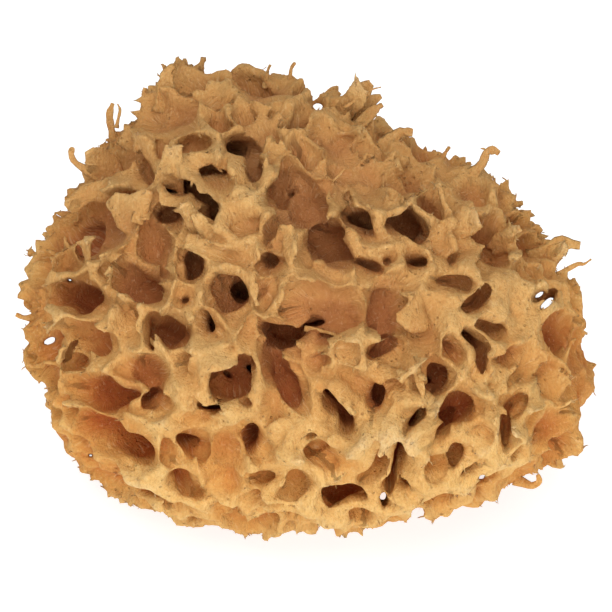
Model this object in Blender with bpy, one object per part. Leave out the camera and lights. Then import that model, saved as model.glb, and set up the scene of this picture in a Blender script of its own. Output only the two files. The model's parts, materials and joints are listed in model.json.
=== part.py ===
"""Sea sponge: one grown piece of honeycomb bath sponge, resting on the flat where it was cut off.

The tables are in millimetres and degrees. The finished mesh is in metres, with +Z up.
"""

import math

import bmesh
import bpy
import numpy as np
import openvdb

for leftover in list(bpy.data.objects):
    bpy.data.objects.remove(leftover)

# Grown body
MIDDLE_HEIGHT = 45.0
HALF_THICKNESS = 55.0
FACE_TILT = math.radians(42)
BACK_LEAN = 0.17
VIEWING_POINT = (1.5, -1.5, 800.0)
# Distance from the middle to the rim at every 15 degrees, from the right-hand side round over the top
OUTLINE_RADII = (
    70.5, 62, 58, 53.5, 52, 54, 57.5, 62.5, 69.5, 68.5, 65.5, 65.5,
    70, 69, 70, 68, 61, 57.5, 55, 57.5, 64.5, 69.5, 79, 75.5,
)

# Fineness of the model
GRID_STEP = 1.8
SMALLEST_CELL = 1.8
FACE_LIMIT = 9600
LOW_CORNER = (-82.0, -76.0, -9.0)
HIGH_CORNER = (84.0, 76.0, 114.0)

# Cells and the walls between them. A cell's opening is seen where its table says, SEEN_DEPTH below the skin
MOUTH_SHARE = 0.92
DEPTH_SHARE = 1.05
BELLY = 0.22
MOUTH_REACH = 10.0
SEEN_DEPTH = 5.0
UNDERCUT = 0.1
BOWL_DEPTH = 5.8
WALL_WIDTH = 2.4
PLATEAU_WIDTH = 6.5
RIDGE_SHARE = 0.7
PEAK_SPREAD = 1.6
PEAK_HEIGHT = 1.3
FOLD_HEIGHT = 3.2
CREST_HEIGHT = 2.0
CREST_INSET = -0.3
EDGE_ROUNDING = 1.6
FLAP_THICKNESS = 1.0
THICKENING = 0.25
FOOT_RADIUS = 16.0
FOOT_HEIGHT = 9.0

# Cells seen on the face: across, up, half length, half width, turn, depth
FACE_CELLS = (
    (-13.3, 37.5, 4.6, 3.6, 20, 26), (-11.8, 32, 3, 1.6, 90, 14), (-29.5, 28.5, 4.4, 2.3, 15, 18),
    (-33, 21.5, 3.8, 2.4, 0, 16), (-35.2, 14.5, 5.2, 2.6, -68, 14), (-33.8, 8, 2.3, 1.0, 85, 10),
    (-26.2, 8.8, 3.1, 2.7, -60, 15), (-39.2, 2.2, 6.6, 4.0, -42, 13), (-15.8, 1.3, 5.2, 4.2, -50, 12),
    (-15, 3.8, 3.2, 2.0, -40, 28), (-7.5, 9.3, 1.8, 1.8, 0, 12), (-6.3, 16.3, 3.3, 2.1, 80, 8),
    (-22.5, -5.5, 2.7, 1.3, -75, 18), (-28.2, -0.5, 1.2, 1.0, 0, 7), (-32, -8.3, 5, 2.9, -12, 14),
    (-17.5, -19.3, 6, 4.2, 25, 10), (-13.5, -18, 1.2, 0.9, 0, 20), (-20, -19.3, 1.0, 0.8, 0, 18),
    (-22, -25.5, 3.1, 1.3, 15, 16), (-13, -13.8, 2.5, 0.7, -20, 8), (-11.8, -34.8, 3.1, 2.2, -75, 14),
    (-4.3, -9.5, 4.4, 3.8, 0, 22), (6, -2.5, 9, 4.6, -12, 8), (2.5, -7.5, 3.2, 1.2, 20, 24),
    (6.3, -9, 2.6, 1.2, -10, 10), (-3.8, -19, 7.2, 3.7, -75, 12), (8.5, -26, 3.4, 2.0, -35, 24),
    (11.8, -30, 3.1, 2.1, -50, 12), (19.5, -23.8, 3.6, 2.1, 80, 14), (21.5, -11.3, 2.9, 1.7, 30, 14),
    (22, -3, 6.2, 4.2, 60, 11), (24, 3, 3.4, 2.2, 10, 5), (14.3, 19.3, 5.2, 1.9, -22, 20),
    (27, 18.5, 5.6, 3.2, -35, 20), (24.3, 28.3, 3.1, 2.3, 80, 8), (25, 22.5, 4.5, 3, 0, 8),
    (-3, 26.8, 5.5, 4, -30, 12), (1.3, 22, 6.5, 5, -45, 14), (6.3, 16.3, 6, 5, -45, 16),
    (9.5, 13, 3.2, 2.4, 0, 18), (-0.5, 26, 1.3, 1, 0, 20), (11.3, 31.5, 1.9, 1.4, 0, 10),
    (10.5, 27.5, 0.8, 0.6, 0, 5), (16.8, 27, 0.9, 0.6, 0, 3), (18, 8.8, 3.2, 1.2, -20, 12),
    (22, 9.8, 1.1, 0.8, 0, 8), (28.3, 9.5, 1.6, 1.3, 0, 14), (38.3, 10.5, 1.4, 0.6, 75, 8),
    (39.3, 5.3, 4.5, 1.8, -5, 7), (46.3, 15.5, 5.5, 3.2, 35, 12), (48.8, 11.3, 4, 2.5, 0, 12),
    (52, 21.8, 5, 2, -60, 10), (57.5, 13.5, 4.2, 3.2, -10, 12), (42, 27.3, 4, 1.6, -50, 9),
    (28.5, 30.5, 4.5, 2.1, 80, 12), (33.8, 26, 4, 1.2, -10, 6), (44.8, 0.8, 4.3, 2.1, 35, 11),
    (47.8, -6, 3.6, 1.8, -50, 12), (43, -10.5, 3.6, 1.4, -50, 16), (44.8, -15, 3.2, 1, -80, 9),
    (33.5, -20, 4.4, 3.2, 75, 12), (31.8, -21.5, 1.4, 1, 0, 18), (37.3, -26.8, 5.8, 4, 35, 12),
    (35, -30.5, 3, 1.6, 40, 16), (39.5, -36.3, 4.2, 2, 80, 8), (28, -28.3, 3.6, 1.2, 60, 12),
    (24.8, -37.5, 9, 1.9, 80, 14), (19.5, -39.5, 5.5, 2, 65, 8), (8.7, -47.2, 5.2, 3.8, 0, 16),
    (11.3, -44.8, 1.2, 1.0, 0, 14), (22, -52.5, 3.2, 2.8, 0, 10), (29.5, -53.3, 2.1, 1.5, 0, 14),
    (20.8, -49, 1.5, 0.8, 75, 8), (31.3, -40, 2.2, 1.8, 0, 3.5), (51.3, -29.5, 5.5, 1.7, 85, 10),
    (53.3, -25, 2, 1.4, 0, 8), (45.3, -41.8, 3.2, 2, 75, 7), (63.3, -8, 6.8, 4.8, 70, 14),
    (61.5, 0, 3, 1.2, 35, 14), (65.3, 8.3, 2.2, 1.1, 70, 14), (68, 6.8, 1.9, 1, 80, 12),
    (61.3, -18, 4, 3.2, 20, 8), (70.5, -18.5, 5, 2.6, 80, 9), (62, -31.5, 6.3, 4.2, 25, 12),
    (51.3, -12, 2.6, 1, 0, 6), (37.5, -12.5, 2.3, 1.2, -70, 7), (-54, 1.4, 6.2, 3.4, -10, 18),
    (-59, 1.3, 5, 3, 0, 9), (-53.5, -0.5, 2.6, 2, 0, 14), (-52, -8.8, 6.8, 3, -22, 6),
    (-37.3, -17.5, 5.8, 3.1, -72, 9), (-36.5, -24, 3.4, 1.5, 8, 14), (-36.5, -9.5, 3.2, 1, 88, 12),
    (-49.3, -22.5, 7.6, 2.8, -12, 12), (-44.5, -34.5, 9.5, 4, -24, 14), (-28, -35.3, 2.6, 1.9, 0, 11),
    (-29.5, -43, 4.4, 2.3, -60, 9), (-56.8, -16.3, 2, 1.4, 0, 5), (-57.5, -11.8, 1.2, 0.7, 85, 6),
    (-62.5, -8.8, 3, 2.6, 0, 10), (-63.8, -3.8, 1.4, 0.8, 0, 6), (-46.5, 21.5, 8.2, 3.8, 50, 14),
    (-54.8, 25.8, 2.7, 1.8, 50, 6), (-55.5, 16.3, 3.4, 1.8, -50, 8), (-45, 15, 0.7, 0.7, 0, 7),
    (-44.5, 35, 6, 4.6, 20, 10), (-38.8, 32, 5, 1.3, -80, 12), (-34.5, 37.5, 2.6, 0.8, -80, 7),
    (-31, 44.5, 1.8, 1.2, 0, 14), (-32.5, 47.5, 7.2, 3.9, 8, 8), (-26, 38.5, 2.8, 2.4, 0, 9),
    (-21.8, 33.5, 3.6, 1.6, -10, 13), (-21, 21.8, 3.3, 1.8, 80, 13), (-19.8, 17, 2.4, 0.8, -25, 11),
    (-23.8, 27, 3.6, 2.6, -40, 10), (-7, 52.5, 7.5, 2.9, 4, 9), (4.5, 48.3, 1.4, 0.9, 0, 18),
    (6, 41.5, 3.4, 2.8, 70, 7), (11.3, 36.8, 3.8, 2.2, 0, 7), (-58.3, 10, 3.6, 1.6, 80, 6),
    (-22.8, -53.5, 3.6, 1.6, -22, 9), (-16.8, -50.8, 2.7, 1.3, -20, 6), (-8, -43.5, 3.4, 1.4, 0, 6),
    (-2.5, -45.5, 3, 4, 0, 4), (6.3, -14, 1.1, 0.8, 0, 4), (2.3, -32.8, 1, 0.8, 0, 3),
    (-13.5, -26, 1.3, 1, 0, 4), (-9, 2, 2.1, 1, 80, 6),
)

# Torn flaps: root across and up, tip across and up, root width, tip width, lift of the tip
FLAPS = (
    (-42, 22, -37.5, 27.2, 9, 2.5, 3), (-50, 34, -53, 38.8, 7, 3, 2), (-53, 26, -43, 32.5, 5, 1.5, 3),
    (-32, 32, -30.5, 40.5, 7, 6, 3), (-24, 17, -29, 25, 7, 3, 3), (-17, 14, -26, 24.5, 5, 2, 3.5),
    (-28, 33.5, -21, 37.5, 4, 2, 3), (-4, 16, -1.8, 20.2, 5, 1.2, 2.5), (12, 48, 17, 54.5, 7, 4.5, 2),
    (24, 26, 28.2, 26.8, 4, 1.6, 2.5), (40, 18, 45.8, 20.2, 6, 4, 3), (51, 15, 57, 17.8, 4, 2, 3),
    (63, 11, 69.5, 13.4, 5.5, 3, 1), (28, -4, 22.5, -5.2, 6, 2, 2), (9, 0, 10.7, 3.3, 6, 1, 2),
    (-26, -17, -25.5, -13.5, 4, 3.5, 2.5), (38, -33, 37, -31, 5, 2, 2),
)


def set_out(across, up, forward):
    """Point in millimetres from its place on the tilted face: across, up, and towards the viewer."""
    return np.array([
        across,
        up * math.sin(FACE_TILT) - forward * math.cos(FACE_TILT),
        MIDDLE_HEIGHT + up * math.cos(FACE_TILT) + forward * math.sin(FACE_TILT),
    ])


MIDDLE = set_out(0, 0, 0)
EYE = set_out(*VIEWING_POINT)


def rim_distance(angle):
    """Radius of the outline at each angle, as a smooth curve through the radii."""
    radii = np.array(OUTLINE_RADII, np.float32)
    place = angle / (2 * math.pi) * len(radii) % len(radii)
    index = np.floor(place).astype(int) % len(radii)
    part = place - np.floor(place)
    a, b, c, d = (radii[(index + k) % len(radii)] for k in (-1, 0, 1, 2))
    bend = 2 * a - 5 * b + 4 * c - d + part * (3 * (b - c) + d - a)
    return b + 0.5 * part * (c - a + part * bend)


def face_height(y, z):
    """How far up the tilted face a point is, from the middle."""
    return y * math.sin(FACE_TILT) + (z - MIDDLE_HEIGHT) * math.cos(FACE_TILT)


def body(x, y, z):
    """Distance outside the plain body, before it has any cells."""
    up = face_height(y, z)
    forward = (z - MIDDLE_HEIGHT) * math.sin(FACE_TILT) - y * math.cos(FACE_TILT)
    rim = rim_distance(np.arctan2(up, x))
    side = np.hypot(x, up) / rim
    front = (forward + BACK_LEAN * up) / HALF_THICKNESS
    near = np.sqrt(side**2 + front**2) + 1e-6
    slope = np.sqrt((side / rim) ** 2 + (front / HALF_THICKNESS) ** 2) + 1e-6
    return near * (near - 1) / slope


def unit(vector):
    return vector / np.linalg.norm(vector)


def outward(point):
    """Direction straight out of the body."""
    return unit(np.array([body(*(point + step)) - body(*(point - step)) for step in 0.5 * np.eye(3)]))


def on_face(across, up):
    """Point of the body that the viewer sees at this place, or the nearest to it beside the rim."""
    best, nearest = None, 1e9
    for forward in np.arange(75, -70, -0.5):
        scale = 1 - forward / VIEWING_POINT[2]
        point = set_out(
            VIEWING_POINT[0] + scale * (across - VIEWING_POINT[0]),
            VIEWING_POINT[1] + scale * (up - VIEWING_POINT[1]),
            forward,
        )
        distance = body(*point)
        if distance < nearest:
            best, nearest = point, distance
        if distance < 0:
            break
    return best


def waves(axes, length, seed):
    """Smooth random waves of about unit height over the grid."""
    random = np.random.default_rng(seed)
    weights = []
    for axis in axes:
        place = (axis - axis[0]) / length + 1
        index = np.floor(place).astype(int)
        part = place - index
        table = np.zeros((len(axis), index[-1] + 4), np.float32)
        shares = (
            (1 - part) ** 3 / 6,
            (3 * part**3 - 6 * part**2 + 4) / 6,
            (-3 * part**3 + 3 * part**2 + 3 * part + 1) / 6,
            part**3 / 6,
        )
        for offset, share in enumerate(shares):
            table[np.arange(len(axis)), index - 1 + offset] = share
        weights.append(table)
    knots = random.standard_normal([table.shape[1] for table in weights]).astype(np.float32)
    return 3.2 * np.einsum("ai,bj,ck,ijk->abc", *weights, knots, optimize=True)


def ease(value, low, high):
    """0 below low and 1 above high, with a smooth change between."""
    part = np.clip((value - low) / (high - low), 0, 1)
    return part * part * (3 - 2 * part)


def join(a, b, blend):
    """The larger of two distances, rounded where they meet."""
    share = np.clip(0.5 + 0.5 * (a - b) / blend, 0, 1)
    return b + (a - b) * share + blend * share * (1 - share)


def soften(values):
    """Evens out the distances between neighbours on the grid, so that no wall ends thinner than a step."""
    for axis in range(3):
        ends = [(1, 1) if k == axis else (0, 0) for k in range(3)]
        wide = np.moveaxis(np.pad(values, ends, mode="edge"), axis, 0)
        values = np.moveaxis(0.25 * (wide[:-2] + wide[2:]) + 0.5 * wide[1:-1], 0, axis)
    return values


class Growth:
    """Grid of distances in which the body grows and its cells are hollowed."""

    def __init__(self, step):
        self.step = step
        self.axes = [
            np.arange(low, high, step).astype(np.float32) for low, high in zip(LOW_CORNER, HIGH_CORNER)
        ]
        self.place = np.meshgrid(*self.axes, indexing="ij", sparse=True)
        self.bent = [
            axis + 0.75 * waves(self.axes, 10, 3 + k) + 0.45 * waves(self.axes, 4.5, 13 + k)
            for k, axis in enumerate(self.place)
        ]
        shape = self.bent[0].shape
        self.nearest = np.full(shape, 9, np.float32)
        self.second = np.full(shape, 9, np.float32)
        self.third = np.full(shape, 9, np.float32)
        self.flaps = np.full(shape, 9, np.float32)

    def bend(self, point):
        """Where a point lies in the bent coordinates."""
        index = np.round((point - np.array(LOW_CORNER)) / self.step).astype(int)
        index = tuple(np.clip(index, 0, np.array(self.nearest.shape) - 1))
        return np.array([axis[index] for axis in self.bent], np.float32)

    def window(self, points, margin):
        """The part of the grid around these points, and the bent coordinates in it."""
        low = np.min(points, axis=0) - margin
        high = np.max(points, axis=0) + margin
        part = []
        for k in range(3):
            first = max(0, int((low[k] - LOW_CORNER[k]) / self.step))
            last = min(len(self.axes[k]), int((high[k] - LOW_CORNER[k]) / self.step) + 2)
            part.append(slice(first, max(first, last)))
        part = tuple(part)
        return part, np.stack([axis[part] for axis in self.bent], axis=-1)

    def hollow(self, mouth, inward, cross, size, depth):
        """Hollows a round-ended cell in from its mouth, wider inside than at the mouth."""
        inward = unit(inward)
        side = unit(cross - inward * cross.dot(inward))
        other = np.cross(inward, side)
        part, place = self.window((mouth - inward * MOUTH_REACH, mouth + inward * depth), size[0] + 10)
        if not place.size:
            return
        frame = np.array([inward, side, other], np.float32).T
        seen = self.bend(mouth + inward * SEEN_DEPTH)
        down, along, over = np.moveaxis((place - seen) @ frame, -1, 0)
        down = down + SEEN_DEPTH
        width = 0.92 + BELLY * np.sin(math.pi * np.clip(down / depth, 0, 1))
        end = max(size[1], 0.3 * depth)
        past = np.clip(down - (depth - end), 0, 99) / end
        along = along / (size[0] * width)
        over = over / (size[1] * width)
        near = np.sqrt(along**2 + over**2 + past**2) + 1e-6
        slope = np.sqrt((along / size[0]) ** 2 + (over / size[1]) ** 2 + (past / end) ** 2) + 1e-6
        distance = np.where(down < -MOUTH_REACH, 9, near * (near - 1) / slope * width)
        nearest = self.nearest[part]
        second = self.second[part]
        self.third[part] = np.minimum(self.third[part], np.maximum(second, distance))
        self.second[part] = np.minimum(second, np.maximum(nearest, distance))
        self.nearest[part] = np.minimum(nearest, distance)

    def tear(self, root, tip, sight, widths, curl):
        """Adds a thin flap that stands from its root to its tip."""
        length = np.linalg.norm(tip - root)
        along = (tip - root) / length
        across = unit(np.cross(along, sight))
        part, place = self.window((root - along * 5, tip), max(widths) + 3)
        frame = np.array([along, across, np.cross(along, across)], np.float32).T
        out, side, over = np.moveaxis((place - self.bend(root)) @ frame, -1, 0)
        share = np.clip(out / length, 0, 1)
        over = over + 0.06 * side**2 / 3 - curl * share**2
        half = 0.5 * (widths[0] + (widths[1] - widths[0]) * share)
        past_side = np.clip(np.abs(side) - half + FLAP_THICKNESS, 0, 99)
        past_end = np.clip(out - length + FLAP_THICKNESS, 0, 99) + np.clip(-out - 5, 0, 99)
        distance = np.sqrt(past_side**2 + past_end**2 + over**2) - FLAP_THICKNESS * (1.2 - 0.5 * share)
        self.flaps[part] = np.minimum(self.flaps[part], distance)

    def hollow_face(self, smallest):
        """Hollows the cells of the face, each undercutting the edge above it."""
        random = np.random.default_rng(8)
        spots = []
        for across, up, long, short, turn, depth in FACE_CELLS:
            mouth = on_face(across, up)
            sight = unit(mouth - EYE)
            angle = math.radians(turn)
            cross = set_out(math.cos(angle), math.sin(angle), 0) - MIDDLE
            above = set_out(0, 1, 0) - MIDDLE
            normal = outward(mouth)
            facing = -normal.dot(sight)
            grazing = (1 - facing) ** 2
            inward = sight - (0.08 + 0.6 * grazing) * normal + UNDERCUT * above
            inward = unit(inward + 0.08 * random.standard_normal(3))
            spots.append((*mouth, 0.8 * long))
            mouth = mouth + (sight - inward) * SEEN_DEPTH / max(0.35, facing)
            size = (MOUTH_SHARE * long, MOUTH_SHARE * short)
            if short >= smallest:
                self.hollow(mouth, inward, cross, size, DEPTH_SHARE * depth)
        return np.array(spots)

    def hollow_rest(self, spots, smallest):
        """Hollows cells of mixed sizes wherever the face cells leave room, on every side."""
        random = np.random.default_rng(5)
        for turn in range(5000):
            direction = unit(random.standard_normal(3))
            size = random.uniform(2.4, 6.2) * (1 if turn < 2500 else 0.55)
            lean, cross = random.standard_normal((2, 3))
            long, short, depth = random.uniform((1.0, 0.55, 1.5), (1.6, 0.9, 3.2)) * size
            reach = 60.0
            for _ in range(12):
                reach -= 0.9 * float(body(*(MIDDLE + direction * reach)))
            mouth = MIDDLE + direction * reach
            gap = np.linalg.norm(spots[:, :3] - mouth, axis=1) - spots[:, 3] - size
            normal = outward(mouth)
            in_view = -normal.dot(unit(mouth - EYE)) > 0.3
            middle = -44 < face_height(mouth[1], mouth[2]) < 36
            limit = 9 if not in_view else 1.7 if middle else 3.4
            if mouth[2] < -1 or gap.min() < 1.2 or size > limit:
                continue
            spots = np.vstack([spots, (*mouth, size)])
            if short >= smallest:
                self.hollow(mouth, 0.35 * lean - normal, cross, (long, short), depth)

    def hang_flaps(self):
        for root_across, root_up, tip_across, tip_up, root_width, tip_width, lift in FLAPS:
            root = on_face(root_across, root_up)
            sight = unit(root - EYE)
            aim = unit(set_out(tip_across, tip_up, 0) - EYE)
            tip = EYE + aim * ((root - EYE).dot(sight) / aim.dot(sight) - lift)
            self.tear(root + sight, tip, sight, (root_width, tip_width), 0.5 * lift)

    def finish(self):
        """The whole sponge as distances: below 0 inside it."""
        x, y, z = self.place
        axes = self.axes
        up = face_height(y, z)
        low = ease(-up, 5, 40)
        skin = body(x, y, z).astype(np.float32) + CREST_INSET
        skin -= 1.2 * waves(axes, 22, 1) + (0.7 + 0.9 * low) * waves(axes, 9, 2)
        to_rim = np.hypot(x, up) / rim_distance(np.arctan2(up, x))
        calm = 1 - ease(to_rim, 0.8, 0.95) * (0.65 + 0.25 * ease(-up, 5, 25))
        fold = np.exp(-np.abs(waves((1.7 * axes[0], axes[1], axes[2]), 14, 61)) / 0.35)
        skin += FOLD_HEIGHT * (0.3 - fold) * (0.4 + 0.6 * low) * ease(self.nearest, 0.3, 3.0) * calm
        span = WALL_WIDTH * (1 + 0.35 * low + 0.45 * waves(axes, 12, 21))
        free = ease(self.nearest, -0.2, 0.8) * (1 - ease(self.nearest, 5, 8))
        wall = np.exp(-(((self.second - self.nearest) / span) ** 2)) * free
        peak = np.exp(-(((self.third - self.nearest) / (PEAK_SPREAD * span)) ** 2)) * free
        plateau = ease(self.nearest, 0.4, PLATEAU_WIDTH + low)
        bowl = (1 - np.maximum(np.maximum(RIDGE_SHARE * wall, peak), plateau)) * BOWL_DEPTH * (1 - 0.2 * low)
        bowl -= PEAK_HEIGHT * peak * (1 + 0.5 * waves(axes, 9, 51)) * calm
        teeth = np.clip(0.9 * waves(axes, 6.5, 11) + 0.3, -0.4, 2.0)
        wild = np.clip(0.6 * waves(axes, 26, 31) + 0.7, 0.15, 1.4) * (1 - 0.65 * ease(-up, 22, 46))
        wild = wild * (1 - 0.6 * ease(up, 30, 46)) * calm
        edge = np.maximum(wall, 0.5 * np.exp(-np.abs(self.nearest - 1) / 1.5))
        solid = join(skin + bowl - CREST_HEIGHT * edge * teeth * wild, -self.nearest, EDGE_ROUNDING)
        solid = -join(-solid, -self.flaps, 0.8)
        foot = np.maximum(np.sqrt(x**2 + y**2) - FOOT_RADIUS, z - FOOT_HEIGHT)
        solid = np.clip(np.minimum(solid, np.maximum(foot, skin + 1)), -4, 4)
        return soften(solid) - THICKENING


def main_shell(points, faces):
    """Keeps the largest connected surface: no crumbs, and no hollow closed off inside."""
    label = np.arange(len(points))
    while True:
        lowest = label[faces].min(axis=1)
        before = label.copy()
        for k in range(3):
            np.minimum.at(label, faces[:, k], lowest)
        label = label[label]
        if (label == before).all():
            break
    owner = label[faces[:, 0]]
    faces = faces[owner == np.bincount(owner).argmax()]
    used, index = np.unique(faces, return_inverse=True)
    return points[used], index.reshape(-1, 3)


def skin_mesh(distances, step):
    """Mesh in metres along the surface where the distance is 0."""
    grid = openvdb.FloatGrid(3)
    grid.copyFromArray(np.clip(distances, -3, 3))
    grid.transform = openvdb.createLinearTransform(voxelSize=step)
    points, triangles, quads = grid.convertToPolygons()
    faces = np.vstack([triangles[:, ::-1], quads[:, [3, 2, 1]], quads[:, [3, 1, 0]]])
    return plain_mesh("rough_sponge", (points + LOW_CORNER) / 1000, faces)


def plain_mesh(name, points, faces):
    """Mesh of the main shell of these triangles."""
    points, faces = main_shell(points, faces)
    mesh = bpy.data.meshes.new(name)
    mesh.from_pydata(points.tolist(), [], faces.tolist())
    return mesh


def cut_flat(rough):
    """Cuts away everything below the ground and closes the cut with one flat face."""
    shape = bmesh.new()
    shape.from_mesh(rough)
    bmesh.ops.bisect_plane(
        shape,
        geom=shape.verts[:] + shape.edges[:] + shape.faces[:],
        plane_co=(0, 0, 0),
        plane_no=(0, 0, -1),
        clear_outer=True,
    )
    rim = [edge for edge in shape.edges if edge.is_boundary]
    bmesh.ops.triangle_fill(shape, edges=rim, normal=(0, 0, -1), use_beauty=True)
    bmesh.ops.triangulate(shape, faces=shape.faces[:])
    bmesh.ops.recalc_face_normals(shape, faces=shape.faces[:])
    shape.verts.index_update()
    points = np.array([vert.co for vert in shape.verts])
    points[np.abs(points[:, 2]) < 1e-7, 2] = 0
    faces = np.array([[vert.index for vert in face.verts] for face in shape.faces])
    shape.free()
    return plain_mesh("sponge", points, faces)


def grow_sponge():
    growth = Growth(GRID_STEP)
    growth.hollow_rest(growth.hollow_face(SMALLEST_CELL), SMALLEST_CELL)
    growth.hang_flaps()
    rough = bpy.data.objects.new("rough_sponge", skin_mesh(growth.finish(), GRID_STEP))
    bpy.context.scene.collection.objects.link(rough)
    thinning = rough.modifiers.new("Fewer faces", "DECIMATE")
    thinning.ratio = FACE_LIMIT / len(rough.data.polygons)
    graph = bpy.context.evaluated_depsgraph_get()
    sponge = bpy.data.objects.new("sponge", cut_flat(rough.evaluated_get(graph).to_mesh()))
    bpy.data.objects.remove(rough)
    bpy.context.scene.collection.objects.link(sponge)
    return sponge


def sponge_fibre():
    material = bpy.data.materials.new("sponge_fibre")
    material.use_nodes = True
    surface = material.node_tree.nodes["Principled BSDF"]
    surface.inputs["Base Color"].default_value = (0.56, 0.33, 0.12, 1)
    surface.inputs["Roughness"].default_value = 0.9
    surface.inputs["Metallic"].default_value = 0
    return material


grow_sponge().data.materials.append(sponge_fibre())
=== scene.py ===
import json
import math

import bmesh
import bpy
import numpy as np
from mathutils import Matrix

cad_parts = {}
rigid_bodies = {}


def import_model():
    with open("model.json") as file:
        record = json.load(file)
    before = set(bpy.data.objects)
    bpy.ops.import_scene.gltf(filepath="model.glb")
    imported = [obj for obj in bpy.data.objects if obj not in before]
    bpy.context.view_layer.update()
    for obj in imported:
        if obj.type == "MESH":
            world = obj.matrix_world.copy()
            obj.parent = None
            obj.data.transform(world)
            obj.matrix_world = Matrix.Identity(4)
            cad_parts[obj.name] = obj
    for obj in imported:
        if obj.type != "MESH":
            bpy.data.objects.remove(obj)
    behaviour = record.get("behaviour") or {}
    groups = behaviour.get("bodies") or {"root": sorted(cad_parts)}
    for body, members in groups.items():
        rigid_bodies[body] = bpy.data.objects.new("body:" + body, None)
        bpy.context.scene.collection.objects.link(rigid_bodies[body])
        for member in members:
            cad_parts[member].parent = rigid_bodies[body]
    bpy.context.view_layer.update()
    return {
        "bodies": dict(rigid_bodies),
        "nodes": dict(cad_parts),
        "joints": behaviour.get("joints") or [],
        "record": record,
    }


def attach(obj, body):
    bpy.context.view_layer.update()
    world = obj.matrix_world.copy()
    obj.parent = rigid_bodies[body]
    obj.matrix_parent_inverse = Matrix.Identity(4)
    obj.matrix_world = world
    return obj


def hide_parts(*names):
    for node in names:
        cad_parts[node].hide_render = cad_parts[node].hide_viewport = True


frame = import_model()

import openvdb
from mathutils import Vector
from mathutils.bvhtree import BVHTree


# The sponge
# One grown piece of honeycomb bath sponge: a springy network of fine fibre, dried hard and golden tan.
# It grew outwards as thin ragged walls round open cells, and it was cut off flat underneath.

# Sizes are in millimetres, and a place on the face is measured across and up as its viewer sees it
FACE_TILT = math.radians(42)
MIDDLE_HEIGHT = 45.0
HALF_THICKNESS = 55.0
BACK_LEAN = 0.17
VIEWING_POINT = (1.5, -1.5, 800.0)

# Distance from the middle to the rim at every 15 degrees, from the right-hand side round over the top
OUTLINE_RADII = (
    72.3, 63.5, 60, 54.5, 50.8, 52.3, 55.7, 62.8, 70.5, 67.2, 65.5, 66.5,
    70, 70.3, 72.5, 68, 61, 58.3, 56.2, 58.5, 64.5, 69.5, 79, 78,
)

# The grid in which the sponge grows, in millimetres
GRID_STEP = 0.65
LOW_CORNER = (-82.0, -76.0, -9.0)
HIGH_CORNER = (84.0, 76.0, 114.0)
FAR = 9
FACE_LIMIT = 196000

# How far the plain body is drawn in behind, and how high the swells on its skin stand
BACK_INSET = 2.2
SWELL_HEIGHT = 1.2
LUMP_HEIGHT = 0.7
LOWER_LUMP_HEIGHT = 0.9
DIMPLE_HEIGHT = 0.35

# Ridged folds of the skin, about so long and so sharp
FOLD_HEIGHT = 3.8
FOLD_LENGTH = 14
FOLD_SHARPNESS = 0.35
FOLD_STRETCH = 1.7

# Bowls between the walls, the walls where two cells meet and the peaks where three do
BOWL_DEPTH = 6.0
PLATEAU_WIDTH = 6.5
WALL_WIDTH = 2.0
RIDGE_SHARE = 0.7
PEAK_SPREAD = 1.6
PEAK_HEIGHT = 1.4
CREST_HEIGHT = 2.3
EDGE_ROUNDING = 1.6
FLAP_ROUNDING = 0.8

# Roughness of the felt, of two lengths
FELT_HEIGHT = 0.21
UPPER_FELT_HEIGHT = 0.07
FINE_FELT_HEIGHT = 0.14

# How the cells' own coordinates are bent: height, length and seed of each wave
BENDS = ((0.75, 10, 3), (0.65, 4.5, 13), (0.22, 2, 23))

# A cell's narrower mouth and wider belly, and how it runs in along the line of sight
MOUTH_WIDTH = 0.92
BELLY_WIDTH = 0.22
MOUTH_REACH = 10
WINDOW_MARGIN = 10
UNDERCUT = 0.1
SEEN_DEPTH = 5.0

FLAP_THICKNESS = 0.55
FLAP_ROOT = 5
FOOT_RADIUS = 16.0
FOOT_HEIGHT = 9.0

# Cells that fill the rest: how many are tried, and the largest out of view, in the middle and near the rim
TRIES = 5000
LARGE_TRIES = 2500
LIMIT_UNSEEN = 9
LIMIT_MIDDLE = 2.7
LIMIT_SEEN = 3.4

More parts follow.
